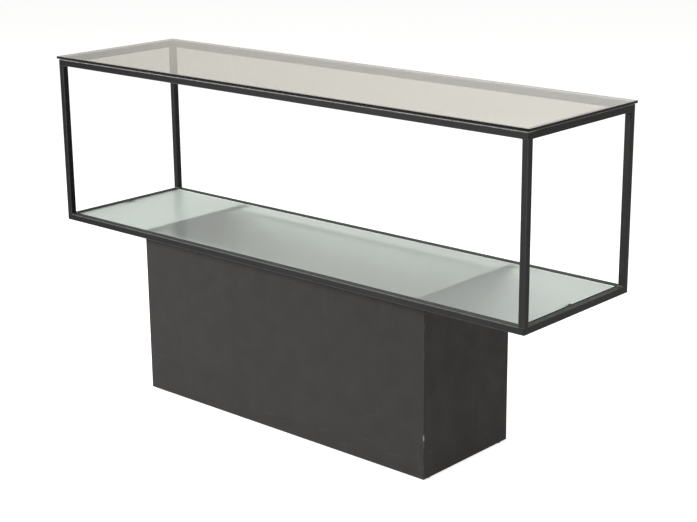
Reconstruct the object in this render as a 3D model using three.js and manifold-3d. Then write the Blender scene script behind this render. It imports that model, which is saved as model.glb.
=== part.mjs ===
// Glazed display console: a welded square-tube steel box frame with a smoked glass top and a satin
// glass shelf, carried on an open-topped painted plinth.
// Millimetres, +Z up. The origin is on the floor, under the middle of the glass top. The long side
// runs along X and the front faces -Y.

import * as THREE from 'three';
import { mergeVertices } from 'three/addons/utils/BufferGeometryUtils.js';
import Module from 'manifold-3d';

const wasm = await Module();
wasm.setup();

// Driving dimensions of the steel frame.
const frameLength = 1500;
const frameDepth = 400;
const frameBottom = 420;
const frameTop = 852;
const tubeSide = 16;
const tubeWall = 1.5;
const tubeCornerRadius = 2;
const barWidth = 25;
const barThickness = 8;
const tabLength = 26;
const tabReach = 16;
const tabThickness = 4;

// Driving dimensions of the glass and of what it rests on.
const glassThickness = 6;
const glassArris = 1;
const glassCornerRadius = 1.5;
const topOverhang = 4;
const bumperHeight = 2;
const bumperRadius = 4.5;
const shelfClearance = 4;
const padHeight = 1.5;
const padRadius = 5;
const padSpacing = 250;

// Driving dimensions of the plinth.
const plinthLength = 928;
const plinthDepth = 318;
const plinthShiftY = -17;
const panelThickness = 22;
const basePanelThickness = 18;
const basePanelHeight = 12;
const blockSide = 30;
const blockTopDrop = 5;
const glideHeight = 3;
const glideRadius = 9;
const glideSpacing = 270;
const nailRadius = 1.25;
const nailLength = 13;

// Driving dimensions of the fixing screws.
const screwSpacing = 115;
const screwLength = 50;
const screwRadius = 3;
const screwHeadRadius = 5;
const screwHeadDepth = 2;
const screwTipLength = 4;
const socketAcross = 4;
const socketDepth = 2.5;

// A joint line or a bedding line between two pieces that meet.
const seat = 0.2;
const runningGap = 0.3;
const roundSegments = 24;
const tubeArcSegments = 3;

const tubeHalf = tubeSide / 2;
const railX = frameLength / 2 - tubeHalf;
const railY = frameDepth / 2 - tubeHalf;
const lowerRailZ = frameBottom + tubeHalf;
const upperRailZ = frameTop - tubeHalf;
const postBottom = frameBottom + tubeSide;
const postTop = frameTop - tubeSide;
const openingX = frameLength / 2 - tubeSide;
const openingY = frameDepth / 2 - tubeSide;
const barTop = frameBottom + barThickness;
const barX = plinthLength / 2 - barWidth / 2;
const panelCentreX = plinthLength / 2 - panelThickness / 2;
const panelHeight = frameBottom - glideHeight;
const sideOffsets = [-1, 1];

const finishes = {
  blackPaint: { color: 0x262627, roughness: 0.45, metalness: 0.1 },
  charcoalPaint: { color: 0x3f3c3a, roughness: 0.75, metalness: 0 },
  rawBoard: { color: 0x6f6d68, roughness: 0.9, metalness: 0 },
  smokedGlass: { color: 0x8d857a, roughness: 0.05, metalness: 0 },
  satinGlass: { color: 0xb9c6bd, roughness: 0.3, metalness: 0 },
  clearSilicone: { color: 0xd9dcd9, roughness: 0.35, metalness: 0 },
  blackRubber: { color: 0x1a1a1a, roughness: 0.8, metalness: 0 },
  blackSteel: { color: 0x1f1f20, roughness: 0.4, metalness: 0.8 },
  glidePlastic: { color: 0x2b2a29, roughness: 0.6, metalness: 0 },
};

const model = new THREE.Group();

function addPiece(name, geometry, finish, parent, position = [0, 0, 0], turn = 0) {
  const mesh = new THREE.Mesh(geometry, new THREE.MeshStandardMaterial(finishes[finish]));
  mesh.name = name;
  mesh.position.set(...position);
  mesh.rotation.z = turn;
  parent.add(mesh);
  return mesh;
}

// Solids for the boolean cuts.

function toSolid(geometry) {
  const bare = geometry.clone();
  bare.deleteAttribute('normal');
  bare.deleteAttribute('uv');
  const merged = mergeVertices(bare, 1e-4);
  const vertProperties = new Float32Array(merged.attributes.position.array);
  const triVerts = new Uint32Array(merged.index.array);
  return new wasm.Manifold(new wasm.Mesh({ numProp: 3, vertProperties, triVerts }));
}

function toGeometry(solid) {
  const mesh = solid.getMesh();
  const geometry = new THREE.BufferGeometry();
  geometry.setAttribute('position', new THREE.BufferAttribute(mesh.vertProperties, 3));
  geometry.setIndex(new THREE.BufferAttribute(mesh.triVerts, 1));
  geometry.computeVertexNormals();
  return geometry;
}

function cut(geometry, cutters) {
  const solid = cutters.reduce((rest, cutter) => rest.subtract(toSolid(cutter)), toSolid(geometry));
  return toGeometry(solid);
}

// Basic shapes.

function roundedRectangle(outline, width, height, radius) {
  const x = width / 2 - radius;
  const y = height / 2 - radius;
  outline.absarc(x, y, radius, 0, Math.PI / 2);
  outline.absarc(-x, y, radius, Math.PI / 2, Math.PI);
  outline.absarc(-x, -y, radius, Math.PI, Math.PI * 1.5);
  outline.absarc(x, -y, radius, Math.PI * 1.5, Math.PI * 2);
  outline.closePath();
  return outline;
}

// A turned shape: the profile is a list of [radius, height] from the axis back to the axis.
function turned(profile, segments = roundSegments) {
  const points = profile.map(([radius, height]) => new THREE.Vector2(radius, height));
  return new THREE.LatheGeometry(points, segments).rotateX(Math.PI / 2);
}

function roundPost(radius, height, bottom, segments = roundSegments) {
  const post = new THREE.CylinderGeometry(radius, radius, height, segments);
  return post.rotateX(Math.PI / 2).translate(0, 0, bottom + height / 2);
}

function slab(length, depth, height) {
  return new THREE.BoxGeometry(length, depth, height).translate(0, 0, height / 2);
}

// A length of square tube on the Z axis, open at both ends.
function straightTube(length) {
  const section = roundedRectangle(new THREE.Shape(), tubeSide, tubeSide, tubeCornerRadius);
  const bore = tubeSide - 2 * tubeWall;
  const boreRadius = tubeCornerRadius - tubeWall;
  section.holes.push(roundedRectangle(new THREE.Path(), bore, bore, boreRadius));
  return new THREE.ExtrudeGeometry(section, {
    depth: length,
    bevelEnabled: false,
    curveSegments: tubeArcSegments,
  });
}

// A tube along X with 45 degree mitres at both ends. Its long side faces -Y.
function mitredTube(length) {
  const geometry = straightTube(1);
  const place = geometry.attributes.position;
  for (let i = 0; i < place.count; i += 1) {
    const outward = place.getX(i);
    const upward = place.getY(i);
    const end = place.getZ(i) * 2 - 1;
    const halfLength = length / 2 - (tubeHalf - outward) - seat;
    place.setXYZ(i, -end * halfLength, -outward, upward);
  }
  geometry.computeVertexNormals();
  return geometry;
}

// A pane with its edges ground to a small arris, lying on z = 0.
function glassPane(length, depth) {
  const outline = new THREE.Shape();
  const inset = 2 * glassArris;
  roundedRectangle(outline, length - inset, depth - inset, glassCornerRadius - glassArris / 2);
  const geometry = new THREE.ExtrudeGeometry(outline, {
    depth: glassThickness - inset,
    bevelEnabled: true,
    bevelThickness: glassArris,
    bevelSize: glassArris,
    bevelSegments: 1,
    curveSegments: 4,
  });
  return geometry.translate(0, 0, glassArris);
}

// A domed disc that the glass sits on.
function domedDisc(radius, height) {
  const profile = [[0, 0], [radius, 0], [radius, height * 0.5]];
  const arcSteps = 4;
  for (let i = 1; i <= arcSteps; i += 1) {
    const angle = (i / arcSteps) * (Math.PI / 2);
    const reach = radius - height * 0.5 * (1 - Math.cos(angle));
    profile.push([reach, height * 0.5 * (1 + Math.sin(angle))]);
  }
  profile.push([0, height]);
  return turned(profile);
}

// The welded box frame: two mitred rings and four posts.

function addRing(label, height) {
  const frontBack = [['front', -1], ['back', 1]];
  const leftRight = [['left', -1], ['right', 1]];
  for (const [side, sign] of frontBack) {
    const turn = sign < 0 ? 0 : Math.PI;
    addPiece(`${side}_${label}_rail`, mitredTube(frameLength), 'blackPaint', model,
      [0, sign * railY, height], turn);
  }
  for (const [side, sign] of leftRight) {
    addPiece(`${side}_${label}_rail`, mitredTube(frameDepth), 'blackPaint', model,
      [sign * railX, 0, height], sign * (Math.PI / 2));
  }
}

function addPosts() {
  const corners = [['front_left', -1, -1], ['front_right', 1, -1], ['back_left', -1, 1], ['back_right', 1, 1]];
  for (const [corner, signX, signY] of corners) {
    addPiece(`${corner}_post`, straightTube(postTop - postBottom - 2 * seat), 'blackPaint', model,
      [signX * railX, signY * railY, postBottom + seat]);
  }
}

// The screw's countersink and clearance hole, with the bar's top at z = barThickness.
function countersink() {
  const hole = screwRadius + runningGap;
  const mouth = screwHeadRadius + runningGap;
  const overshoot = 1;
  return turned([
    [0, -overshoot],
    [hole, -overshoot],
    [hole, barThickness - screwHeadDepth],
    [mouth, barThickness],
    [mouth, barThickness + overshoot],
    [0, barThickness + overshoot],
  ]);
}

// Two flat bars cross the lower ring. They carry the shelf and bolt the frame to the plinth.
function addCrossBars() {
  const length = 2 * (openingY - seat);
  const offsets = [-screwSpacing, 0, screwSpacing];
  for (const [side, sign] of [['left', -1], ['right', 1]]) {
    const holeX = sign * (panelCentreX - barX);
    const holes = offsets.map((offset) => countersink().translate(holeX, plinthShiftY + offset, 0));
    const bar = cut(slab(barWidth, length, barThickness), holes);
    addPiece(`${side}_cross_bar`, bar, 'blackPaint', model, [sign * barX, 0, frameBottom]);
  }
}

function addEndTabs() {
  for (const [side, sign] of [['left', -1], ['right', 1]]) {
    addPiece(`${side}_end_tab`, slab(tabReach, tabLength, tabThickness), 'blackPaint', model,
      [sign * (openingX - seat - tabReach / 2), 0, barTop - tabThickness]);
  }
}

// The glass and its rests.

function addTopGlass() {
  addPiece('top_glass', glassPane(frameLength + 2 * topOverhang, frameDepth + 2 * topOverhang),
    'smokedGlass', model, [0, 0, frameTop + bumperHeight]);
  const columns = [['left', -railX], ['middle', 0], ['right', railX]];
  for (const [row, y] of [['front', -railY], ['back', railY]]) {
    for (const [column, x] of columns) {
      addPiece(`${row}_${column}_bumper`, domedDisc(bumperRadius, bumperHeight - seat), 'clearSilicone',
        model, [x, y, frameTop]);
    }
  }
}

function addShelfGlass() {
  addPiece('shelf_glass', glassPane(2 * (openingX - shelfClearance), 2 * (openingY - shelfClearance)),
    'satinGlass', model, [0, 0, barTop + padHeight]);
  for (const [side, sign] of [['left', -1], ['right', 1]]) {
    const pad = () => domedDisc(padRadius, padHeight - seat);
    addPiece(`${side}_front_shelf_pad`, pad(), 'blackRubber', model, [sign * barX, -padSpacing / 2, barTop]);
    addPiece(`${side}_back_shelf_pad`, pad(), 'blackRubber', model, [sign * barX, padSpacing / 2, barTop]);
    addPiece(`${side}_end_shelf_pad`, pad(), 'blackRubber', model,
      [sign * (openingX - seat - tabReach / 2 - 1), 0, barTop]);
  }
}

// The plinth: four mitred panels, corner blocks, a base panel and glides.

const plinth = new THREE.Group();
plinth.position.y = plinthShiftY;
model.add(plinth);

// A panel standing on z = 0 with its outer face on -Y and mitred ends.
function mitredPanel(length, height) {
  const half = length / 2 - seat;
  const outline = new THREE.Shape();
  outline.moveTo(-half, -panelThickness / 2);
  outline.lineTo(half, -panelThickness / 2);
  outline.lineTo(half - panelThickness, panelThickness / 2);
  outline.lineTo(-half + panelThickness, panelThickness / 2);
  outline.closePath();
  return new THREE.ExtrudeGeometry(outline, { depth: height, bevelEnabled: false });
}

function addPlinthPanels() {
  const outward = (plinthDepth - panelThickness) / 2;
  for (const [side, sign] of [['front', -1], ['back', 1]]) {
    addPiece(`plinth_${side}_panel`, mitredPanel(plinthLength, panelHeight - seat), 'charcoalPaint', plinth,
      [0, sign * outward, glideHeight], sign < 0 ? 0 : Math.PI);
  }
  const screwHole = screwRadius + runningGap;
  const nailHole = nailRadius + runningGap;
  const holes = [-screwSpacing, 0, screwSpacing].map(
    (x) => roundPost(screwHole, screwLength, panelHeight - screwLength + barThickness).translate(x, 0, 0),
  );
  for (const sign of sideOffsets) {
    holes.push(roundPost(nailHole, nailLength + 2, -1, 16).translate((sign * glideSpacing) / 2, 0, 0));
  }
  for (const [side, sign] of [['left', -1], ['right', 1]]) {
    const panel = cut(mitredPanel(plinthDepth, panelHeight - seat), holes);
    addPiece(`plinth_${side}_panel`, panel, 'charcoalPaint', plinth,
      [sign * panelCentreX, 0, glideHeight], sign * (Math.PI / 2));
  }
}

function addPlinthCore() {
  const clearLength = plinthLength - 2 * (panelThickness + runningGap);
  const clearDepth = plinthDepth - 2 * (panelThickness + runningGap);
  addPiece('plinth_base_panel', slab(clearLength, clearDepth, basePanelThickness), 'rawBoard', plinth,
    [0, 0, basePanelHeight]);
  const blockBottom = basePanelHeight + basePanelThickness + seat;
  const blockHeight = frameBottom - blockTopDrop - blockBottom;
  const corners = [['front_left', -1, -1], ['front_right', 1, -1], ['back_left', -1, 1], ['back_right', 1, 1]];
  for (const [corner, signX, signY] of corners) {
    addPiece(`${corner}_corner_block`, slab(blockSide, blockSide, blockHeight), 'rawBoard', plinth,
      [signX * ((clearLength - blockSide) / 2), signY * ((clearDepth - blockSide) / 2), blockBottom]);
  }
}

// A nail-on glide: a round foot with its nail driven into the panel's lower edge.
function glide() {
  return turned([
    [0, 0],
    [glideRadius - 1, 0],
    [glideRadius, 1],
    [glideRadius, glideHeight - seat],
    [nailRadius, glideHeight - seat],
    [nailRadius, glideHeight + nailLength - 3],
    [0, glideHeight + nailLength],
  ]);
}

function addGlides() {
  const rows = [['front', -1], ['back', 1]];
  for (const [row, signY] of rows) {
    for (const [side, signX] of [['left', -1], ['right', 1]]) {
      addPiece(`${row}_${side}_glide`, glide(), 'glidePlastic', plinth,
        [signX * panelCentreX, (signY * glideSpacing) / 2, 0]);
    }
  }
}

// A countersunk panel screw with a hexagon socket, its head at z = 0.
function panelScrew() {
  const body = turned([
    [0, -screwLength + seat + 1],
    [screwRadius - 1, -screwLength + screwTipLength],
    [screwRadius, -screwLength + screwTipLength + 2],
    [screwRadius, -screwHeadDepth - seat],
    [screwHeadRadius, -seat],
    [0, -seat],
  ], 20);
  const socketRadius = socketAcross / Math.sqrt(3);
  return cut(body, [roundPost(socketRadius, socketDepth + 1, -socketDepth, 6)]);
}

function addScrews() {
  const rows = [['front', -screwSpacing], ['middle', 0], ['back', screwSpacing]];
  for (const [side, sign] of [['left', -1], ['right', 1]]) {
    for (const [row, y] of rows) {
      addPiece(`${side}_${row}_screw`, panelScrew(), 'blackSteel', plinth, [sign * panelCentreX, y, barTop]);
    }
  }
}

addRing('bottom', lowerRailZ);
addRing('top', upperRailZ);
addPosts();
addCrossBars();
addEndTabs();
addTopGlass();
addShelfGlass();
addPlinthPanels();
addPlinthCore();
addGlides();
addScrews();

export default model;
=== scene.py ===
"""Looks of the glazed display console: a welded steel box frame with a smoked glass top and a green
glass shelf, polished on top and satin underneath, on an open-topped painted plinth. Metres, +Z up,
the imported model's own frame."""

import math

import bmesh
import bpy
import numpy as np
from mathutils import Matrix, Vector


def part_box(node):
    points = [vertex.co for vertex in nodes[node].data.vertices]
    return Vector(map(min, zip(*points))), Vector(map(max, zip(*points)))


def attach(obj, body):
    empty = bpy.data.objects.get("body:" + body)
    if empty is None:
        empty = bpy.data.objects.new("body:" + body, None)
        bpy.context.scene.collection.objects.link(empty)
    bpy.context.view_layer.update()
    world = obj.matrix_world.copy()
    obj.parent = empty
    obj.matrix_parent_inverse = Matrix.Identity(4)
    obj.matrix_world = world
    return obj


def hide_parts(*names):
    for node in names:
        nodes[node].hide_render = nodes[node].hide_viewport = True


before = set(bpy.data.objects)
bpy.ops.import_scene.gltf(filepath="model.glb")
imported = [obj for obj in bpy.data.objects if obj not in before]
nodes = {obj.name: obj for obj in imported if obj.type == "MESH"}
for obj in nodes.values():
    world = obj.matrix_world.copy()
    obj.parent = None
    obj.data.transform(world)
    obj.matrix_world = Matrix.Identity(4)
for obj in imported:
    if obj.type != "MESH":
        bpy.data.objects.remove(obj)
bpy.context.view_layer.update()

MM = 0.001
BODY = "stand"

# Signs along X and Y. The front is at -Y.
CORNERS = {
    "front_left": (-1, -1),
    "front_right": (1, -1),
    "back_left": (-1, 1),
    "back_right": (1, 1),
}
SIDES = {"front": (0, -1), "back": (0, 1), "left": (-1, 0), "right": (1, 0)}
SHARP_ANGLE = 40

# Where the frame's painted shade and painted edge highlight change, from and to, along one axis in
# metres.
SHADE_LIFTS_TO_THE_RIGHT = (-0.7, 0.3)
LIGHTER_TO_THE_BACK = (-0.1, 0.19)
SHEEN_TO_THE_FRONT = (-0.17, -0.19)
SHEEN_GROWS_UPWARD = (0.44, 0.6)
SHEEN_ON_THE_BOTTOM_RING = (0.47, 0.43)

# Tube and frame. A fill is the weld metal that squares a rail's rounded edge at a post.
TUBE_WALL = 1.5 * MM
TUBE_RADIUS = 1.3 * MM
TUBE_BORE_RADIUS = 0.5 * MM
GROUND_CORNER_RADIUS = 1.3 * MM
FILLED_RADIUS = 0.15 * MM
FILL_FADE = 1.4 * MM
ARC_STEPS = 5
WEAR_REACH = 1.0 * MM
RAIL_SPACING = 120 * MM
POST_RINGS = 5
WELD_RADIUS = 2.8 * MM
CORNER_WELD_RADIUS = WELD_RADIUS * 0.8
WELD_INSET = 1.6 * MM
WELD_RIPPLE_PITCH = 2.08 * MM
BEAD_STEPS = 28
BEAD_SIDES = 12
BEAD_DEPTH = 0.72
BEAD_WIDTH = 1.15

# Plinth. Its chip is at full depth within the core, and gone at the radius.
PANEL_EDGE_RADIUS = 1.2 * MM
PANEL_INNER_RADIUS = PANEL_EDGE_RADIUS * 0.6
PANEL_SPACING = 80 * MM
PANEL_END_WEAR = 2 * MM
CHIP_HEIGHT = 105 * MM
CHIP_RADIUS = 4.2 * MM
CHIP_CORE = 3.4 * MM
OVERSPRAY = 0.55
OVERSPRAY_STARTS = 11 * MM
OVERSPRAY_FULL = 6 * MM

# Glass, and the rubber buffers over the shelf glass's ends.
TOP_CORNER_RADIUS = 1.2 * MM
SHELF_CORNER_RADIUS = 2.0 * MM
ARRIS = 0.7 * MM
ARRIS_STEPS = 3
PANE_BORDER = 30 * MM
FLAT = 0.999
BUFFER_LENGTH = 9 * MM
BUFFER_REACH = 4.0 * MM
BUFFER_BACK = 3.2 * MM
BUFFER_LIP = 1.1 * MM
BUFFER_RISE = 0.5 * MM
BUFFER_FIT = 0.05 * MM
BUFFER_EASING = 0.25 * MM
SHELF_TINT_DEEP = (0.400, 0.441, 0.414)
SHELF_TINT_PALE = (0.421, 0.464, 0.437)
FLOAT_GLASS_IOR = 1.5
SMOKED_GLASS_IOR = 1.52
SILICONE_IOR = 1.41

# Studio. The wall's band rises and falls between heights on the world's unit sphere.
FLOOR_REACH = 60
FLOOR_GLOW = 0.81
ROOM_LEVEL = 0.28
WALL_LEVEL = 0.82
BAND_LEVEL = 2.1
BAND_RISE = (0.19, 0.27)
BAND_FALL = (0.287, 0.322)
TOWARDS_WALL = (-0.35, 0.937, 0.0)

# Camera, fitted to the object's own straight edges. Its angles are in radians.
SENSOR_WIDTH = 36
LENS = 81.15
CAMERA_AT = (2.5446, -2.7477, 1.4901)
CAMERA_TURN = 0.7307
CAMERA_TILT = math.pi / 2 - 0.2839
CAMERA_ROLL = -0.0091


# ---------------------------------------------------------------------------------------------
# Node helpers
# ---------------------------------------------------------------------------------------------

def new_material(name):
    """A material and its tree, with the Principled shader that every material here ends in."""
    material = bpy.data.materials.new(name)
    material.use_nodes = True
    tree = material.node_tree
    return material, tree, tree.nodes["Principled BSDF"]


def place(tree, stretch=(1, 1, 1)):
    """Object coordinates in metres, stretched along each axis."""
    coordinates = tree.nodes.new("ShaderNodeTexCoord")
    mapping = tree.nodes.new("ShaderNodeMapping")
    mapping.inputs["Scale"].default_value = stretch
    tree.links.new(coordinates.outputs["Object"], mapping.inputs["Vector"])
    return mapping.outputs["Vector"]


def noise(tree, scale, detail=2.0, roughness=0.5, stretch=(1, 1, 1)):
    """Noise from 0 to 1. Coordinates are in metres, so scale is roughly the features in a metre."""
    texture = tree.nodes.new("ShaderNodeTexNoise")
    texture.inputs["Scale"].default_value = scale
    texture.inputs["Detail"].default_value = detail
    texture.inputs["Roughness"].default_value = roughness
    tree.links.new(place(tree, stretch), texture.inputs["Vector"])
    return texture.outputs["Fac"]


def remap(tree, value, low, high, out_low=0.0, out_high=1.0):
    """A value's range from low to high turned into out_low to out_high, and held at both ends."""
    node = tree.nodes.new("ShaderNodeMapRange")
    node.inputs["From Min"].default_value = low
    node.inputs["From Max"].default_value = high
    node.inputs["To Min"].default_value = out_low
    node.inputs["To Max"].default_value = out_high
    tree.links.new(value, node.inputs["Value"])
    return node.outputs["Result"]


def combine(tree, operation, first, second):
    """A Math node's result for two inputs, each a socket or a number."""
    node = tree.nodes.new("ShaderNodeMath")
    node.operation = operation
    for socket, value in zip(node.inputs, (first, second)):
        if isinstance(value, (int, float)):
            socket.default_value = value
        else:
            tree.links.new(value, socket)
    return node.outputs["Value"]


def blend(tree, factor, first, second):
    """The colour first where factor is 0 and second where it is 1."""
    node = tree.nodes.new("ShaderNodeMix")
    node.data_type = "RGBA"
    tree.links.new(factor, node.inputs["Factor"])
    for socket, value in ((node.inputs["A"], first), (node.inputs["B"], second)):
        socket_rgba = [s for s in node.inputs if s.name == socket.name and s.type == "RGBA"][0]
        if isinstance(value, tuple):
            socket_rgba.default_value = (*value, 1.0)
        else:
            tree.links.new(value, socket_rgba)
    return [s for s in node.outputs if s.type == "RGBA"][0]


def bump(tree, height, distance, under=None):
    """A normal with relief, where height from 0 to 1 stands for 0 to distance in metres. The normal
    given as under has its own relief, which stays."""
    node = tree.nodes.new("ShaderNodeBump")
    node.inputs["Strength"].default_value = 1.0
    node.inputs["Distance"].default_value = distance
    tree.links.new(height, node.inputs["Height"])
    if under is not None:
        tree.links.new(under, node.inputs["Normal"])
    return node.outputs["Normal"]


def rounded_edge_mask(tree):
    """1 on rounded edges and 0 on flats, from the mesh's own attribute."""
    node = tree.nodes.new("ShaderNodeAttribute")
    node.attribute_name = "edge"
    return node.outputs["Fac"]


def facing_up(tree, low=0.7, high=0.98):
    """0 where the normal's upward part is under low and 1 where it is over high."""
    geometry = tree.nodes.new("ShaderNodeNewGeometry")
    split = tree.nodes.new("ShaderNodeSeparateXYZ")
    tree.links.new(geometry.outputs["Normal"], split.inputs["Vector"])
    return remap(tree, split.outputs["Z"], low, high)


def axis_value(tree, axis):
    """X, Y or Z of a place, in metres."""
    split = tree.nodes.new("ShaderNodeSeparateXYZ")
    tree.links.new(place(tree), split.inputs["Vector"])
    return split.outputs[axis]


def distance_to(tree, point, stretch):
    """How far a place is from a point, with each axis stretched."""
    offset = tree.nodes.new("ShaderNodeVectorMath")
    offset.operation = "SUBTRACT"
    tree.links.new(place(tree), offset.inputs[0])
    offset.inputs[1].default_value = point
    scaled = tree.nodes.new("ShaderNodeVectorMath")
    scaled.operation = "MULTIPLY"
    tree.links.new(offset.outputs["Vector"], scaled.inputs[0])
    scaled.inputs[1].default_value = stretch
    length = tree.nodes.new("ShaderNodeVectorMath")
    length.operation = "LENGTH"
    tree.links.new(scaled.outputs["Vector"], length.inputs[0])
    return length.outputs["Value"]


# ---------------------------------------------------------------------------------------------
# Materials
# ---------------------------------------------------------------------------------------------

def frame_paint():
    """Satin near-black powder coat with orange peel. Its colour carries painted shade: darker towards the
    left, and lighter by half as much towards the back. Rounded edges are a little glossier, and carry a
    painted highlight, a lighter line most where they face up, at the front and on the upper ring. Top
    faces have a little dust."""
    material, tree, shader = new_material("frame_paint")
    # Painted shade: the coat is darker towards the left, and lighter towards the back.
    shaded_coat = blend(tree, noise(tree, 9, 3), (0.0058, 0.0058, 0.0061), (0.0078, 0.0076, 0.0075))
    lit_coat = blend(tree, noise(tree, 9, 3), (0.0168, 0.0166, 0.0166), (0.0218, 0.0213, 0.0207))
    to_the_right = remap(tree, axis_value(tree, "X"), *SHADE_LIFTS_TO_THE_RIGHT)
    to_the_back = remap(tree, axis_value(tree, "Y"), *LIGHTER_TO_THE_BACK, 0.0, 0.5)
    coat = blend(tree, combine(tree, "MAXIMUM", to_the_right, to_the_back), shaded_coat, lit_coat)
    # Painted highlight: a lighter line along rounded edges, most where they face up, at the front, on the
    # bottom ring and on the upper ring. rubbed, thin and worn below carry it.
    patchy = remap(tree, noise(tree, 55, 4), 0.3, 0.6, 0.5, 1.0)
    upper_ring = remap(tree, axis_value(tree, "Z"), *SHEEN_GROWS_UPWARD, 0.5, 1.0)
    rubbed = combine(tree, "MULTIPLY", rounded_edge_mask(tree), combine(tree, "MULTIPLY", patchy, upper_ring))
    front_side = remap(tree, axis_value(tree, "Y"), *SHEEN_TO_THE_FRONT)
    sheen_at_the_front = remap(tree, front_side, 0, 1, 0.2, 1.0)
    low_edge_sheen = remap(tree, axis_value(tree, "Z"), *SHEEN_ON_THE_BOTTOM_RING, 0.15, 0.35)
    upper = combine(tree, "MAXIMUM", facing_up(tree, 0.1, 0.6), low_edge_sheen)
    thin = combine(tree, "MULTIPLY", rubbed, combine(tree, "MULTIPLY", sheen_at_the_front, upper))
    worn = blend(tree, thin, coat, (0.18, 0.18, 0.185))
    specks = remap(tree, noise(tree, 140, 5, 0.7), 0.5, 0.75)
    dusty = combine(tree, "MULTIPLY", facing_up(tree), combine(tree, "MULTIPLY", specks, 0.12))
    tree.links.new(blend(tree, dusty, worn, (0.10, 0.098, 0.095)), shader.inputs["Base Color"])
    flat = remap(tree, noise(tree, 30, 3), 0.3, 0.7, 0.38, 0.5)
    drawn = combine(tree, "SUBTRACT", flat, combine(tree, "MULTIPLY", rounded_edge_mask(tree), 0.18))
    tree.links.new(drawn, shader.inputs["Roughness"])
    peel = bump(tree, noise(tree, 420, 2), 0.00006)
    tree.links.new(bump(tree, noise(tree, 1600, 1), 0.00001, under=peel), shader.inputs["Normal"])
    shader.inputs["Specular IOR Level"].default_value = 0.06
    return material


def weld_paint():
    """The same coat over weld metal: mottled, with a coarser relief."""
    material, tree, shader = new_material("weld_paint")
    coat = blend(tree, noise(tree, 300, 3), (0.014, 0.014, 0.0145), (0.03, 0.0295, 0.029))
    tree.links.new(coat, shader.inputs["Base Color"])
    tree.links.new(remap(tree, noise(tree, 200, 3), 0.3, 0.7, 0.34, 0.55), shader.inputs["Roughness"])
    tree.links.new(bump(tree, noise(tree, 700, 3), 0.00015), shader.inputs["Normal"])
    return material


def plinth_paint():
    """Matte charcoal paint, rolled on board: faint mottling, roller stipple, scuffs and one chip."""
    material, tree, shader = new_material("plinth_paint")
    low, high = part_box("plinth_front_panel")
    mottled = blend(tree, noise(tree, 3.5, 4, 0.6), (0.0190, 0.0172, 0.0168), (0.0236, 0.0215, 0.0210))
    grain = remap(tree, noise(tree, 260, 4, 0.65), 0.55, 0.8)
    grainy = blend(tree, grain, mottled, (0.033, 0.0305, 0.0297))
    streaks = remap(tree, noise(tree, 26, 4, 0.6, (1, 1, 0.12)), 0.62, 0.8)
    near_floor = remap(tree, axis_value(tree, "Z"), 0.16, 0.0)
    scratches = remap(tree, noise(tree, 34, 5, 0.7, (0.4, 0.4, 3)), 0.6, 0.72)
    scuffs = combine(tree, "MULTIPLY", scratches, near_floor)
    faint_streaks = combine(tree, "MULTIPLY", streaks, 0.08)
    marks = combine(tree, "MAXIMUM", faint_streaks, combine(tree, "MULTIPLY", scuffs, 0.22))
    scuffed = blend(tree, marks, grainy, (0.11, 0.104, 0.1))
    rubbed = combine(tree, "MULTIPLY", rounded_edge_mask(tree), remap(tree, noise(tree, 40, 5, 0.7), 0.5, 0.72))
    worn = blend(tree, combine(tree, "MULTIPLY", rubbed, 0.45), scuffed, (0.13, 0.12, 0.11))
    chip_at = (high.x, low.y, CHIP_HEIGHT)
    ragged = combine(tree, "MULTIPLY", combine(tree, "SUBTRACT", noise(tree, 420, 3), 0.5), 0.004)
    chip_size = combine(tree, "ADD", distance_to(tree, chip_at, (1.6, 1.6, 0.5)), ragged)
    chip = remap(tree, chip_size, CHIP_RADIUS, CHIP_CORE)
    tree.links.new(blend(tree, chip, worn, (0.19, 0.175, 0.16)), shader.inputs["Base Color"])
    tree.links.new(remap(tree, noise(tree, 18, 4), 0.3, 0.7, 0.58, 0.72), shader.inputs["Roughness"])
    shader.inputs["Specular IOR Level"].default_value = 0.15
    stipple = bump(tree, noise(tree, 650, 3, 0.6), 0.00007)
    rolled = bump(tree, noise(tree, 90, 2, 0.5, (1, 1, 0.3)), 0.00012, under=stipple)
    tree.links.new(bump(tree, chip, 0.0006, under=rolled), shader.inputs["Normal"])
    return material


def primed_board():
    """Bare inner faces and rims of the plinth's long panels: light grey-primed fibreboard, with thin
    overspray of the outer paint on the rim, down to an uneven line."""
    material, tree, shader = new_material("primed_board")
    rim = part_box("plinth_front_panel")[1].z
    primer = blend(tree, noise(tree, 7, 4, 0.6), (0.74, 0.765, 0.75), (0.80, 0.825, 0.81))
    fibre = remap(tree, noise(tree, 500, 4, 0.7, (0.3, 0.3, 1)), 0.5, 0.8)
    fibres = blend(tree, fibre, primer, (0.70, 0.69, 0.67))
    ragged = combine(tree, "MULTIPLY", combine(tree, "SUBTRACT", noise(tree, 60, 4, 0.65), 0.5), 0.008)
    uneven_height = combine(tree, "ADD", axis_value(tree, "Z"), ragged)
    lapped = remap(tree, uneven_height, rim - OVERSPRAY_STARTS, rim - OVERSPRAY_FULL, 0, OVERSPRAY)
    tree.links.new(blend(tree, lapped, fibres, (0.05, 0.046, 0.044)), shader.inputs["Base Color"])
    tree.links.new(remap(tree, noise(tree, 40, 3), 0.3, 0.7, 0.75, 0.9), shader.inputs["Roughness"])
    shader.inputs["Specular IOR Level"].default_value = 0.25
    tree.links.new(bump(tree, noise(tree, 900, 4, 0.7), 0.00006), shader.inputs["Normal"])
    return material


def raw_board():
    """Hidden core of the plinth: softwood battens and plain board, with straight grain."""
    material, tree, shader = new_material("raw_board")
    grain = noise(tree, 60, 5, 0.65, (1, 1, 0.06))
    tint = blend(tree, remap(tree, grain, 0.35, 0.7), (0.40, 0.365, 0.31), (0.54, 0.50, 0.43))
    tree.links.new(tint, shader.inputs["Base Color"])
    tree.links.new(remap(tree, grain, 0.3, 0.7, 0.7, 0.88), shader.inputs["Roughness"])
    tree.links.new(bump(tree, grain, 0.0002), shader.inputs["Normal"])
    return material


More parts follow.
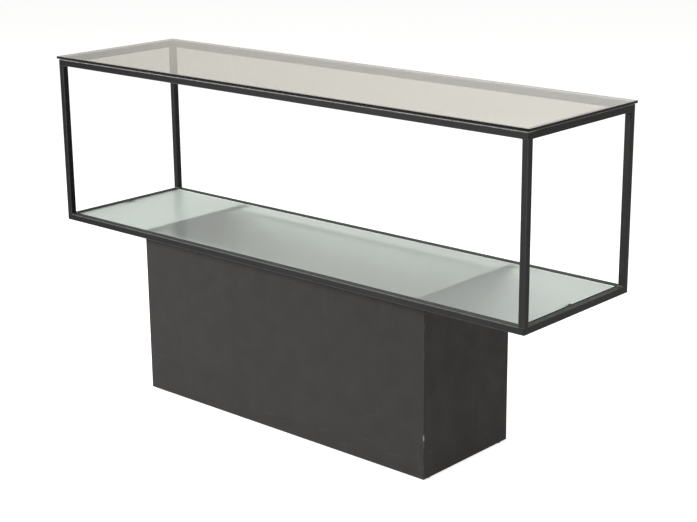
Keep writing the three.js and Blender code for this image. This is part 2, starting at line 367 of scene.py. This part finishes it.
def smoked_glass():
    """Polished bronze-smoked float glass, with faint wiping marks and float waviness."""
    material, tree, shader = new_material("smoked_glass")
    tint = blend(tree, noise(tree, 5, 3), (0.50, 0.475, 0.425), (0.53, 0.505, 0.455))
    tree.links.new(tint, shader.inputs["Base Color"])
    wiped = remap(tree, noise(tree, 14, 5, 0.65, (1, 2.2, 1)), 0.45, 0.8, 0.0, 0.05)
    tree.links.new(wiped, shader.inputs["Roughness"])
    shader.inputs["Transmission Weight"].default_value = 1.0
    shader.inputs["IOR"].default_value = SMOKED_GLASS_IOR
    tree.links.new(bump(tree, noise(tree, 6, 1), 0.00003), shader.inputs["Normal"])
    return material


def shelf_glass(name, rough, tooth):
    """One face of the pale green float glass, its mean roughness and the height of its tooth. The shelf
    is polished on top and satin-etched underneath, so it mirrors the posts faintly and softens what is
    seen through it."""
    material, tree, shader = new_material(name)
    tint = blend(tree, noise(tree, 6, 3), SHELF_TINT_DEEP, SHELF_TINT_PALE)
    tree.links.new(tint, shader.inputs["Base Color"])
    cloudy = remap(tree, noise(tree, 45, 5, 0.6), 0.3, 0.7, 0.94 * rough, 1.06 * rough)
    tree.links.new(cloudy, shader.inputs["Roughness"])
    shader.inputs["Transmission Weight"].default_value = 1.0
    shader.inputs["IOR"].default_value = FLOAT_GLASS_IOR
    tree.links.new(bump(tree, noise(tree, 1800, 2, 0.7), tooth), shader.inputs["Normal"])
    return material


def glass_edge(name, dark, light):
    """A ground and polished pane edge, as an opaque colour banded between a darker and a lighter one. The
    colour is painted light: most edges get a dark painted shade, for the long way through the glass, and
    the shelf's back edge a pale painted highlight."""
    material, tree, shader = new_material(name)
    banded = noise(tree, 120, 4, 0.6, (1, 1, 6))
    tree.links.new(blend(tree, remap(tree, banded, 0.3, 0.75), dark, light), shader.inputs["Base Color"])
    tree.links.new(remap(tree, noise(tree, 260, 3), 0.3, 0.7, 0.12, 0.26), shader.inputs["Roughness"])
    shader.inputs["Specular IOR Level"].default_value = 0.1
    tree.links.new(bump(tree, noise(tree, 900, 2, 0.5, (1, 1, 0.2)), 0.00001), shader.inputs["Normal"])
    return material


def clear_silicone():
    """Clear soft bumpers, a little cloudy."""
    material, tree, shader = new_material("clear_silicone")
    tint = blend(tree, noise(tree, 300, 2), (0.86, 0.88, 0.86), (0.92, 0.93, 0.92))
    tree.links.new(tint, shader.inputs["Base Color"])
    tree.links.new(remap(tree, noise(tree, 500, 2), 0.3, 0.7, 0.18, 0.3), shader.inputs["Roughness"])
    shader.inputs["Transmission Weight"].default_value = 0.85
    shader.inputs["IOR"].default_value = SILICONE_IOR
    tree.links.new(bump(tree, noise(tree, 900, 2), 0.00003), shader.inputs["Normal"])
    return material


def black_rubber():
    """Matte black rubber with a fine tooth."""
    material, tree, shader = new_material("black_rubber")
    tint = blend(tree, noise(tree, 400, 3), (0.014, 0.014, 0.014), (0.03, 0.03, 0.03))
    tree.links.new(tint, shader.inputs["Base Color"])
    tree.links.new(remap(tree, noise(tree, 250, 3), 0.3, 0.7, 0.68, 0.85), shader.inputs["Roughness"])
    tree.links.new(bump(tree, noise(tree, 2200, 2), 0.00003), shader.inputs["Normal"])
    return material


def screw_steel():
    """Blackened steel, finely mottled."""
    material, tree, shader = new_material("screw_steel")
    tint = blend(tree, noise(tree, 700, 3), (0.05, 0.05, 0.055), (0.09, 0.088, 0.086))
    tree.links.new(tint, shader.inputs["Base Color"])
    shader.inputs["Metallic"].default_value = 0.9
    tree.links.new(remap(tree, noise(tree, 500, 4), 0.3, 0.7, 0.3, 0.5), shader.inputs["Roughness"])
    tree.links.new(bump(tree, noise(tree, 1800, 3), 0.00002), shader.inputs["Normal"])
    return material


def glide_plastic():
    """Black moulded plastic, rubbed grey in patches."""
    material, tree, shader = new_material("glide_plastic")
    rubbed = remap(tree, noise(tree, 220, 4, 0.7), 0.5, 0.8)
    tint = blend(tree, rubbed, (0.02, 0.02, 0.02), (0.06, 0.058, 0.055))
    tree.links.new(tint, shader.inputs["Base Color"])
    tree.links.new(remap(tree, noise(tree, 180, 3), 0.3, 0.7, 0.45, 0.62), shader.inputs["Roughness"])
    tree.links.new(bump(tree, noise(tree, 1200, 2), 0.00004), shader.inputs["Normal"])
    return material


FRAME_PAINT = frame_paint()
WELD_PAINT = weld_paint()
PLINTH_PAINT = plinth_paint()
PRIMED_BOARD = primed_board()
RAW_BOARD = raw_board()
SMOKED_GLASS = smoked_glass()
SATIN_GLASS = shelf_glass("satin_glass", 0.74, 0.000008)
POLISHED_GLASS = shelf_glass("polished_glass", 0.31, 0.000001)
# Edge colours are painted light: dark painted shade on most edges, and a pale painted highlight on the
# shelf's back edge.
SMOKED_EDGE_SHADE = glass_edge("smoked_glass_edge_painted_shade", (0.002, 0.002, 0.0016), (0.005, 0.005, 0.004))
GREEN_EDGE_SHADE = glass_edge("green_glass_edge_painted_shade", (0.008, 0.022, 0.016), (0.02, 0.045, 0.034))
BACK_EDGE_HIGHLIGHT = glass_edge("glass_edge_painted_highlight", (0.80, 0.86, 0.82), (0.88, 0.93, 0.90))
CLEAR_SILICONE = clear_silicone()
BLACK_RUBBER = black_rubber()
SCREW_STEEL = screw_steel()
GLIDE_PLASTIC = glide_plastic()


# ---------------------------------------------------------------------------------------------
# Mesh helpers
# ---------------------------------------------------------------------------------------------

def shade(mesh, angle=SHARP_ANGLE):
    """Smooth shading, with sharp edges where faces meet at more than an angle in degrees."""
    mesh.polygons.foreach_set("use_smooth", [True] * len(mesh.polygons))
    mesh.set_sharp_from_angle(angle=math.radians(angle))


def ease_edges(piece, width):
    """A narrow bevel on a piece's edges."""
    easing = piece.modifiers.new("eased_edges", "BEVEL")
    easing.width = width
    easing.segments = 2
    return easing


def add_piece(name, vertices, faces, materials, replaces, wear=None, pick=None,
              angle=SHARP_ANGLE, body=BODY):
    """A new visible piece that rides on a body and stands for the CAD nodes in replaces, if any. pick
    gives a face's place in the list of materials, and wear is 1 at vertices on rounded edges."""
    mesh = bpy.data.meshes.new(name)
    mesh.from_pydata([tuple(v) for v in vertices], [], faces)
    for material in materials:
        mesh.materials.append(material)
    work = bmesh.new()
    work.from_mesh(mesh)
    bmesh.ops.recalc_face_normals(work, faces=work.faces[:])
    if pick is not None:
        for face in work.faces:
            face.material_index = pick(face)
    work.to_mesh(mesh)
    work.free()
    if wear is not None:
        mesh.attributes.new("edge", "FLOAT", "POINT").data.foreach_set("value", wear)
    shade(mesh, angle)
    piece = bpy.data.objects.new(name, mesh)
    bpy.context.scene.collection.objects.link(piece)
    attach(piece, body)
    if replaces:
        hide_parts(*replaces)
    return piece


def ring_faces(count, size, start=0):
    """Quads that join count rings of size points each, end to end."""
    faces = []
    for i in range(count - 1):
        for j in range(size):
            a = start + i * size + j
            b = start + i * size + (j + 1) % size
            faces.append((a, b, b + size, a + size))
    return faces


def tube_faces(count, size):
    """Quads of a tube: count outer rings of size points, then as many of its bore, and both ends."""
    bore_start = count * size
    faces = ring_faces(count, size) + ring_faces(count, size, bore_start)
    for ring_index in (0, count - 1):
        for j in range(size):
            a = ring_index * size + j
            b = ring_index * size + (j + 1) % size
            faces.append((a, b, b + bore_start, a + bore_start))
    return faces


def bar_faces(count, size):
    """Faces of a solid bar: quads that join count rings of size points, and both ends."""
    last = (count - 1) * size
    return ring_faces(count, size) + [tuple(range(size)), tuple(range(last, last + size))]


def section(half_width, half_height, radii, support=WEAR_REACH):
    """A rounded rectangle, one radius a corner, as [across, up, wear] points. Each corner has an arc
    and one point on the flat at either side of it, support away from the arc."""
    points = []
    signs = ((1, 1), (-1, 1), (-1, -1), (1, -1))
    for quadrant, (sign_u, sign_v) in enumerate(signs):
        radius = radii[quadrant]
        centre = (sign_u * (half_width - radius), sign_v * (half_height - radius))
        arc = []
        for k in range(ARC_STEPS + 1):
            angle = (quadrant + k / ARC_STEPS) * math.pi / 2
            arc.append((centre[0] + radius * math.cos(angle), centre[1] + radius * math.sin(angle), 1.0))
        before = math.radians(90 * quadrant - 90)
        after = math.radians(90 * quadrant + 180)
        first, last = arc[0], arc[-1]
        points.append((first[0] + support * math.cos(before), first[1] + support * math.sin(before), 0.0))
        points.extend(arc)
        points.append((last[0] + support * math.cos(after), last[1] + support * math.sin(after), 0.0))
    return points


def pull_into_rounded_box(points, low, high, radius):
    """Points outside a box with rounded edges and corners move onto its surface."""
    inner_low = np.array(low) + radius
    inner_high = np.array(high) - radius
    nearest = np.clip(points, inner_low, inner_high)
    offset = points - nearest
    reach = np.linalg.norm(offset, axis=1, keepdims=True)
    return nearest + offset * (radius / np.maximum(reach, radius))


def mitred_stations(length, near_end, spacing):
    """Where a bar has rings, as (end, distance from that end): dense by the ends, at the distances in
    near_end, and even between them."""
    middle = length / 2
    steps = max(1, int((middle - near_end[-1]) / spacing))
    half = list(near_end)
    for k in range(1, steps):
        half.append(near_end[-1] + (middle - near_end[-1]) * k / steps)
    return [(-1, d) for d in half] + [(-1, middle)] + [(1, d) for d in reversed(half)]


def mitred_rings(length, stations, section_at, half_width):
    """Rings of a bar along its own axis, with 45 degree ends: [along, across, up] and wear."""
    rings, wear = [], []
    middle = length / 2
    for end, distance in stations:
        slope = max(0.0, 1 - distance / middle)
        for across, up, worn in section_at(distance):
            along = end * (middle - distance - (half_width - across) * slope)
            rings.append((along, across, up))
            wear.append(worn)
    return np.array(rings), wear


def to_row_frame(points, centre, outward, up):
    """Points given as [along, across, up] in a bar's own axes, in the row frame."""
    outward = np.array(outward, float)
    up = np.array(up, float)
    along = np.cross(outward, up)
    return np.array(centre) + points[:, :1] * along + points[:, 1:2] * outward + points[:, 2:] * up


# ---------------------------------------------------------------------------------------------
# The welded frame
# ---------------------------------------------------------------------------------------------

rail_low, rail_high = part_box("front_bottom_rail")
TUBE = rail_high.z - rail_low.z
FRAME_LOW = Vector((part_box("left_bottom_rail")[0].x, rail_low.y, rail_low.z))
back_rail_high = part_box("back_top_rail")[1]
FRAME_HIGH = Vector((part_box("right_top_rail")[1].x, back_rail_high.y, back_rail_high.z))
# A rail's rings near a mitre, as distances from it. They are close where the filled edge fades out.
NEAR_MITRE = [0, 0.25 * MM, 0.6 * MM, 1.1 * MM, 1.7 * MM, 2.4 * MM, 4 * MM, TUBE]
NEAR_MITRE += [TUBE + FILL_FADE * k for k in (0.35, 0.7, 1.0, 2.0)]


def add_rail(side, ring):
    """One mitred rail. Where a post stands on it, weld metal fills the rail's rounded outer edge."""
    name = f"{side}_{ring}_rail"
    outward = (*SIDES[side], 0)
    extent = FRAME_HIGH - FRAME_LOW
    length = extent.x if side in ("front", "back") else extent.y
    half = TUBE / 2
    # Of the section's corners, 0 is outward and up, and 3 is outward and down.
    post_corner = 0 if ring == "bottom" else 3

    def outer(distance):
        radii = [TUBE_RADIUS] * 4
        fade = min(max((distance - TUBE) / FILL_FADE, 0.0), 1.0)
        radii[post_corner] = FILLED_RADIUS + (TUBE_RADIUS - FILLED_RADIUS) * fade
        return section(half, half, radii)

    def bore(_distance):
        inside = half - TUBE_WALL
        return section(inside, inside, [TUBE_BORE_RADIUS] * 4)

    stations = mitred_stations(length, NEAR_MITRE, RAIL_SPACING)
    low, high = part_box(name)
    centre = (low + high) / 2
    outside, wear = mitred_rings(length, stations, outer, half)
    inside, _ = mitred_rings(length, stations, bore, half)
    outside = to_row_frame(outside, centre, outward, (0, 0, 1))
    inside = to_row_frame(inside, centre, outward, (0, 0, 1))
    outside = pull_into_rounded_box(outside, FRAME_LOW, FRAME_HIGH, GROUND_CORNER_RADIUS)
    faces = tube_faces(len(stations), len(outer(0)))
    wear += [0.0] * len(inside)
    add_piece(f"{name}_tube", np.vstack([outside, inside]), faces, [FRAME_PAINT],
              [name], wear)


def add_post(corner):
    """A post between the two rings, with the tube's own rounded edges."""
    name = f"{corner}_post"
    low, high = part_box(name)
    bottom = rail_high.z
    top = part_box("front_top_rail")[0].z
    half = TUBE / 2
    inside_half = half - TUBE_WALL
    outer = section(half, half, [TUBE_RADIUS] * 4)
    bore = section(inside_half, inside_half, [TUBE_BORE_RADIUS] * 4)
    centre = (low + high) / 2
    heights = np.linspace(bottom, top, POST_RINGS)
    vertices, wear = [], []
    for loop, worn_here in ((outer, True), (bore, False)):
        for height in heights:
            for across, up, worn in loop:
                vertices.append((centre.x + across, centre.y + up, height))
                wear.append(worn if worn_here else 0.0)
    faces = tube_faces(POST_RINGS, len(outer))
    add_piece(f"{name}_tube", vertices, faces, [FRAME_PAINT], [name], wear)


def bead(start, end, lean, radius, phase):
    """A fillet weld from start to end: a rippled bead of oval section round the joint's own line, with
    blunt ends. It is narrower towards lean, and only what stands out of the metal shows."""
    start, end, lean = np.array(start), np.array(end), np.array(lean, float)
    run = end - start
    length = np.linalg.norm(run)
    along = run / length
    lean = lean / np.linalg.norm(lean)
    side = np.cross(along, lean)
    points = []
    for i in range(BEAD_STEPS + 1):
        t = i / BEAD_STEPS
        taper = min(1.0, math.sqrt(max(0.0, 1 - (2 * t - 1) ** 8)) + 0.25)
        ripple = 1 + 0.10 * math.sin(math.tau * t * length / WELD_RIPPLE_PITCH + phase)
        size = radius * taper * ripple
        for j in range(BEAD_SIDES):
            angle = math.tau * j / BEAD_SIDES
            depth = BEAD_DEPTH * size * math.cos(angle)
            width = BEAD_WIDTH * size * math.sin(angle)
            points.append(start + along * (t * length) + lean * depth + side * width)
    return points, bar_faces(BEAD_STEPS + 1, BEAD_SIDES)


def add_weld(corner, ring):
    """Three beads at an inner corner of the frame: two round the post's foot or head, one in the
    ring's own inner corner."""
    sign_x, sign_y = CORNERS[corner]
    outer_x = FRAME_LOW.x if sign_x < 0 else FRAME_HIGH.x
    outer_y = FRAME_LOW.y if sign_y < 0 else FRAME_HIGH.y
    inner_x = outer_x - sign_x * TUBE
    inner_y = outer_y - sign_y * TUBE
    face_z = rail_high.z if ring == "bottom" else FRAME_HIGH.z - TUBE
    away = 1 if ring == "bottom" else -1
    far_z = face_z - away * TUBE
    inner = (inner_x, inner_y, face_z)
    beside_x = (inner_x, outer_y - sign_y * WELD_INSET, face_z)
    beside_y = (outer_x - sign_x * WELD_INSET, inner_y, face_z)
    rail_edge = (inner_x, inner_y, far_z + away * WELD_INSET)
    runs = [
        (beside_x, inner, (-sign_x, 0, away), WELD_RADIUS),
        (beside_y, inner, (0, -sign_y, away), WELD_RADIUS),
        (inner, rail_edge, (-sign_x, -sign_y, 0), CORNER_WELD_RADIUS),
    ]
    vertices, faces = [], []
    for index, (start, end, lean, radius) in enumerate(runs):
        points, joined = bead(start, end, lean, radius, index + sign_x)
        faces += [tuple(v + len(vertices) for v in face) for face in joined]
        vertices += points
    add_piece(f"{corner}_{ring}_weld", vertices, faces, [WELD_PAINT], [], angle=60)


for side in SIDES:
    for ring in ("bottom", "top"):
        add_rail(side, ring)
for corner in CORNERS:
    add_post(corner)
    for ring in ("bottom", "top"):
        add_weld(corner, ring)


# ---------------------------------------------------------------------------------------------
# The plinth
# ---------------------------------------------------------------------------------------------

panel_low, panel_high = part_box("plinth_front_panel")
PANEL = panel_high.y - panel_low.y
PLINTH_LOW = Vector((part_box("plinth_left_panel")[0].x, panel_low.y, panel_low.z))
plinth_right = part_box("plinth_right_panel")[1].x
PLINTH_HIGH = Vector((plinth_right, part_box("plinth_back_panel")[1].y, panel_high.z))
# A panel's rings near a mitre, as distances from it, close where the corner is rounded.
NEAR_PANEL_END = [0, 0.2 * MM, 0.45 * MM, 0.8 * MM, 1.2 * MM, 2.2 * MM, 6 * MM]


def add_panel(side):
    """A mitred plinth panel with eased edges, painted outside. The long panels are bare on the inner
    face and on the rim."""
    name = f"plinth_{side}_panel"
    outward = Vector((*SIDES[side], 0))
    extent = PLINTH_HIGH - PLINTH_LOW
    length = extent.x if side in ("front", "back") else extent.y
    half_width = PANEL / 2
    half_height = (PLINTH_HIGH.z - PLINTH_LOW.z) / 2
    radii = [PANEL_EDGE_RADIUS, PANEL_INNER_RADIUS, PANEL_INNER_RADIUS, PANEL_EDGE_RADIUS]

    def outline(_distance):
        return section(half_width, half_height, radii, 2 * WEAR_REACH)

    stations = mitred_stations(length, NEAR_PANEL_END, PANEL_SPACING)
    low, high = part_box(name)
    centre = (low + high) / 2
    points, wear = mitred_rings(length, stations, outline, half_width)
    points = to_row_frame(points, centre, outward, (0, 0, 1))
    points = pull_into_rounded_box(points, PLINTH_LOW, PLINTH_HIGH, PANEL_EDGE_RADIUS)
    size = len(outline(0))
    faces = bar_faces(len(stations), size)
    bare = PRIMED_BOARD if side in ("front", "back") else PLINTH_PAINT
    for index, (_end, distance) in enumerate(stations):
        if distance < PANEL_END_WEAR:
            wear[index * size:(index + 1) * size] = [1.0] * size

    def bare_inside_and_on_the_rim(face):
        return 1 if face.normal.dot(outward) < -0.9 or face.normal.z > 0.9 else 0

    add_piece(f"{name}_board", points, faces, [PLINTH_PAINT, bare], [name], wear,
              bare_inside_and_on_the_rim)


for side in SIDES:
    add_panel(side)


# ---------------------------------------------------------------------------------------------
# The glass
# ---------------------------------------------------------------------------------------------

def add_pane(node, corner_radius, materials, body):
    """A pane with ground arrises. Its materials are for the underside, the top, the edges and the
    back edge."""
    low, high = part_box(node)
    centre = (low + high) / 2
    half_x, half_y = (high.x - low.x) / 2, (high.y - low.y) / 2
    levels = []
    for k in range(ARRIS_STEPS + 1):
        angle = math.pi / 2 * k / ARRIS_STEPS
        levels.append((low.z + ARRIS * (1 - math.cos(angle)), ARRIS * (1 - math.sin(angle))))
    levels += [(low.z + high.z - z, inset) for z, inset in reversed(levels)]
    vertices = []
    for height, inset in levels:
        radii = [max(corner_radius - inset, 0.1 * MM)] * 4
        outline = section(half_x - inset, half_y - inset, radii, PANE_BORDER)
        vertices += [(centre.x + across, centre.y + up, height) for across, up, _worn in outline]
    faces = bar_faces(len(levels), len(outline))

    def face_or_edge(face):
        # Edges get the painted shade, and the back edge the painted highlight.
        if abs(face.normal.z) < FLAT:
            return 3 if face.normal.y > 0.5 else 2
        return 1 if face.normal.z > 0 else 0

    pane = add_piece(f"{node}_pane", vertices, faces, materials, [node], pick=face_or_edge,
                     body=body)
    for face in pane.data.polygons:
        face.use_smooth = abs(face.normal.z) < FLAT
    pane.visible_shadow = False
    pane.visible_diffuse = False


TOP_MATERIALS = [SMOKED_GLASS, SMOKED_GLASS, SMOKED_EDGE_SHADE, SMOKED_EDGE_SHADE]
SHELF_MATERIALS = [SATIN_GLASS, POLISHED_GLASS, GREEN_EDGE_SHADE, BACK_EDGE_HIGHLIGHT]
add_pane("top_glass", TOP_CORNER_RADIUS, TOP_MATERIALS, "top_pane")
add_pane("shelf_glass", SHELF_CORNER_RADIUS, SHELF_MATERIALS, "shelf_pane")


def add_edge_buffer(side):
    """A short rubber angle over an end edge of the shelf glass, which keeps the glass off the rail."""
    low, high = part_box("shelf_glass")
    sign = SIDES[side][0]
    edge = high.x if sign > 0 else low.x
    outline = [
        (BUFFER_BACK, high.z + BUFFER_LIP),
        (-BUFFER_REACH, high.z + BUFFER_LIP),
        (-BUFFER_REACH, high.z + BUFFER_FIT),
        (BUFFER_FIT, high.z + BUFFER_FIT),
        (BUFFER_FIT, low.z + BUFFER_RISE),
        (BUFFER_BACK, low.z + BUFFER_RISE),
    ]
    vertices = []
    for end in (-1, 1):
        vertices += [(edge + sign * out, end * BUFFER_LENGTH / 2, height) for out, height in outline]
    faces = bar_faces(2, len(outline))
    buffer = add_piece(f"{side}_edge_buffer", vertices, faces, [BLACK_RUBBER], [],
                       body="shelf_pane")
    ease_edges(buffer, BUFFER_EASING)


for side in ("left", "right"):
    add_edge_buffer(side)


# ---------------------------------------------------------------------------------------------
# CAD nodes that keep their shape
# ---------------------------------------------------------------------------------------------

def finish_node(name, material, edge_width):
    """A CAD node with its own material, smooth round faces and, unless edge_width is 0, eased edges."""
    node = nodes[name]
    node.data.materials.clear()
    node.data.materials.append(material)
    shade(node.data)
    if edge_width:
        easing = ease_edges(node, edge_width)
        easing.limit_method = "ANGLE"
        easing.angle_limit = math.radians(SHARP_ANGLE)
        easing.harden_normals = True


KEPT = (
    ("_cross_bar", FRAME_PAINT, 0.5 * MM),
    ("_end_tab", FRAME_PAINT, 0.5 * MM),
    ("_bumper", CLEAR_SILICONE, 0.0),
    ("_shelf_pad", BLACK_RUBBER, 0.0),
    ("_corner_block", RAW_BOARD, 1.0 * MM),
    ("_base_panel", RAW_BOARD, 0.6 * MM),
    ("_glide", GLIDE_PLASTIC, 0.0),
    ("_screw", SCREW_STEEL, 0.1 * MM),
)
for name in nodes:
    for ending, material, edge_width in KEPT:
        if name.endswith(ending):
            finish_node(name, material, edge_width)


# ---------------------------------------------------------------------------------------------
# Studio
# ---------------------------------------------------------------------------------------------

def add_floor():
    """A plain pale floor with a glow of its own, so that it stays even and nearly white."""
    material, tree, shader = new_material("studio_floor")
    tone = blend(tree, noise(tree, 0.6, 2), (0.42, 0.42, 0.42), (0.46, 0.46, 0.46))
    tree.links.new(tone, shader.inputs["Base Color"])
    shader.inputs["Roughness"].default_value = 0.9
    shader.inputs["Specular IOR Level"].default_value = 0.0
    shader.inputs["Emission Color"].default_value = (1, 1, 1, 1)
    shader.inputs["Emission Strength"].default_value = FLOOR_GLOW
    mesh = bpy.data.meshes.new("studio_floor")
    signs = ((-1, -1), (1, -1), (1, 1), (-1, 1))
    floor_corners = [(sign_x * FLOOR_REACH, sign_y * FLOOR_REACH, 0) for sign_x, sign_y in signs]
    mesh.from_pydata(floor_corners, [], [(0, 1, 2, 3)])
    mesh.materials.append(material)
    floor = bpy.data.objects.new("studio_floor", mesh)
    bpy.context.scene.collection.objects.link(floor)


def add_area_light(name, place_at, aim, size, power):
    """A soft rectangular lamp that points at aim."""
    data = bpy.data.lights.new(name, "AREA")
    data.shape = "RECTANGLE"
    data.size, data.size_y = size
    data.energy = power
    lamp = bpy.data.objects.new(name, data)
    lamp.location = place_at
    lamp.rotation_euler = (Vector(aim) - Vector(place_at)).to_track_quat("-Z", "Y").to_euler()
    bpy.context.scene.collection.objects.link(lamp)
    return lamp


def add_world():
    """Soft surround: one dim level all round, and a wall behind the object and a little to its left,
    which is brightest in a band about 16 degrees up and faint above it. The light is a little warm low
    down, and warmer to the right."""
    world = bpy.data.worlds.new("studio")
    bpy.context.scene.world = world
    world.use_nodes = True
    tree = world.node_tree
    background = tree.nodes["Background"]
    coordinates = tree.nodes.new("ShaderNodeTexCoord")
    towards = tree.nodes.new("ShaderNodeVectorMath")
    towards.operation = "DOT_PRODUCT"
    tree.links.new(coordinates.outputs["Generated"], towards.inputs[0])
    towards.inputs[1].default_value = TOWARDS_WALL
    near_wall = combine(tree, "POWER", remap(tree, towards.outputs["Value"], 0.6, 1.0), 1.4)
    split = tree.nodes.new("ShaderNodeSeparateXYZ")
    tree.links.new(coordinates.outputs["Generated"], split.inputs["Vector"])
    rising = remap(tree, split.outputs["Z"], *BAND_RISE, WALL_LEVEL, BAND_LEVEL)
    falling = remap(tree, split.outputs["Z"], *BAND_FALL, 1.0, 0.2)
    wall = combine(tree, "MULTIPLY", near_wall, combine(tree, "MULTIPLY", rising, falling))
    level = combine(tree, "ADD", wall, ROOM_LEVEL)
    tree.links.new(level, background.inputs["Strength"])
    warmth = remap(tree, near_wall, 0.3, 1.0)
    wall_colour = blend(tree, warmth, (1.0, 0.985, 0.89), (1.0, 0.985, 0.95))
    higher = remap(tree, split.outputs["Z"], 0.2, 0.26)
    wall_colour = blend(tree, higher, wall_colour, (0.97, 1.0, 0.97))
    on_the_right = remap(tree, split.outputs["X"], 0.2, 0.9)
    tree.links.new(blend(tree, on_the_right, wall_colour, (1.0, 0.9, 0.8)), background.inputs["Color"])


def add_camera():
    """The camera at the photograph's viewing angle."""
    data = bpy.data.cameras.new("camera")
    data.sensor_width = SENSOR_WIDTH
    data.lens = LENS
    camera = bpy.data.objects.new("camera", data)
    camera.matrix_world = (
        Matrix.Translation(CAMERA_AT)
        @ Matrix.Rotation(CAMERA_TURN, 4, "Z")
        @ Matrix.Rotation(CAMERA_TILT, 4, "X")
        @ Matrix.Rotation(CAMERA_ROLL, 4, "Z")
    )
    bpy.context.scene.collection.objects.link(camera)
    bpy.context.scene.camera = camera


add_floor()
add_world()
add_area_light("key", place_at=(-2.4, -3.4, 2.8), aim=(0, 0, 0.4), size=(1.8, 1.8), power=310)
fill = add_area_light("top_fill", place_at=(0, -0.3, 3.4), aim=(0, 0, 0), size=(2.6, 1.4), power=130)
fill.visible_glossy = False
add_camera()
bpy.context.scene.view_settings.view_transform = "Standard"
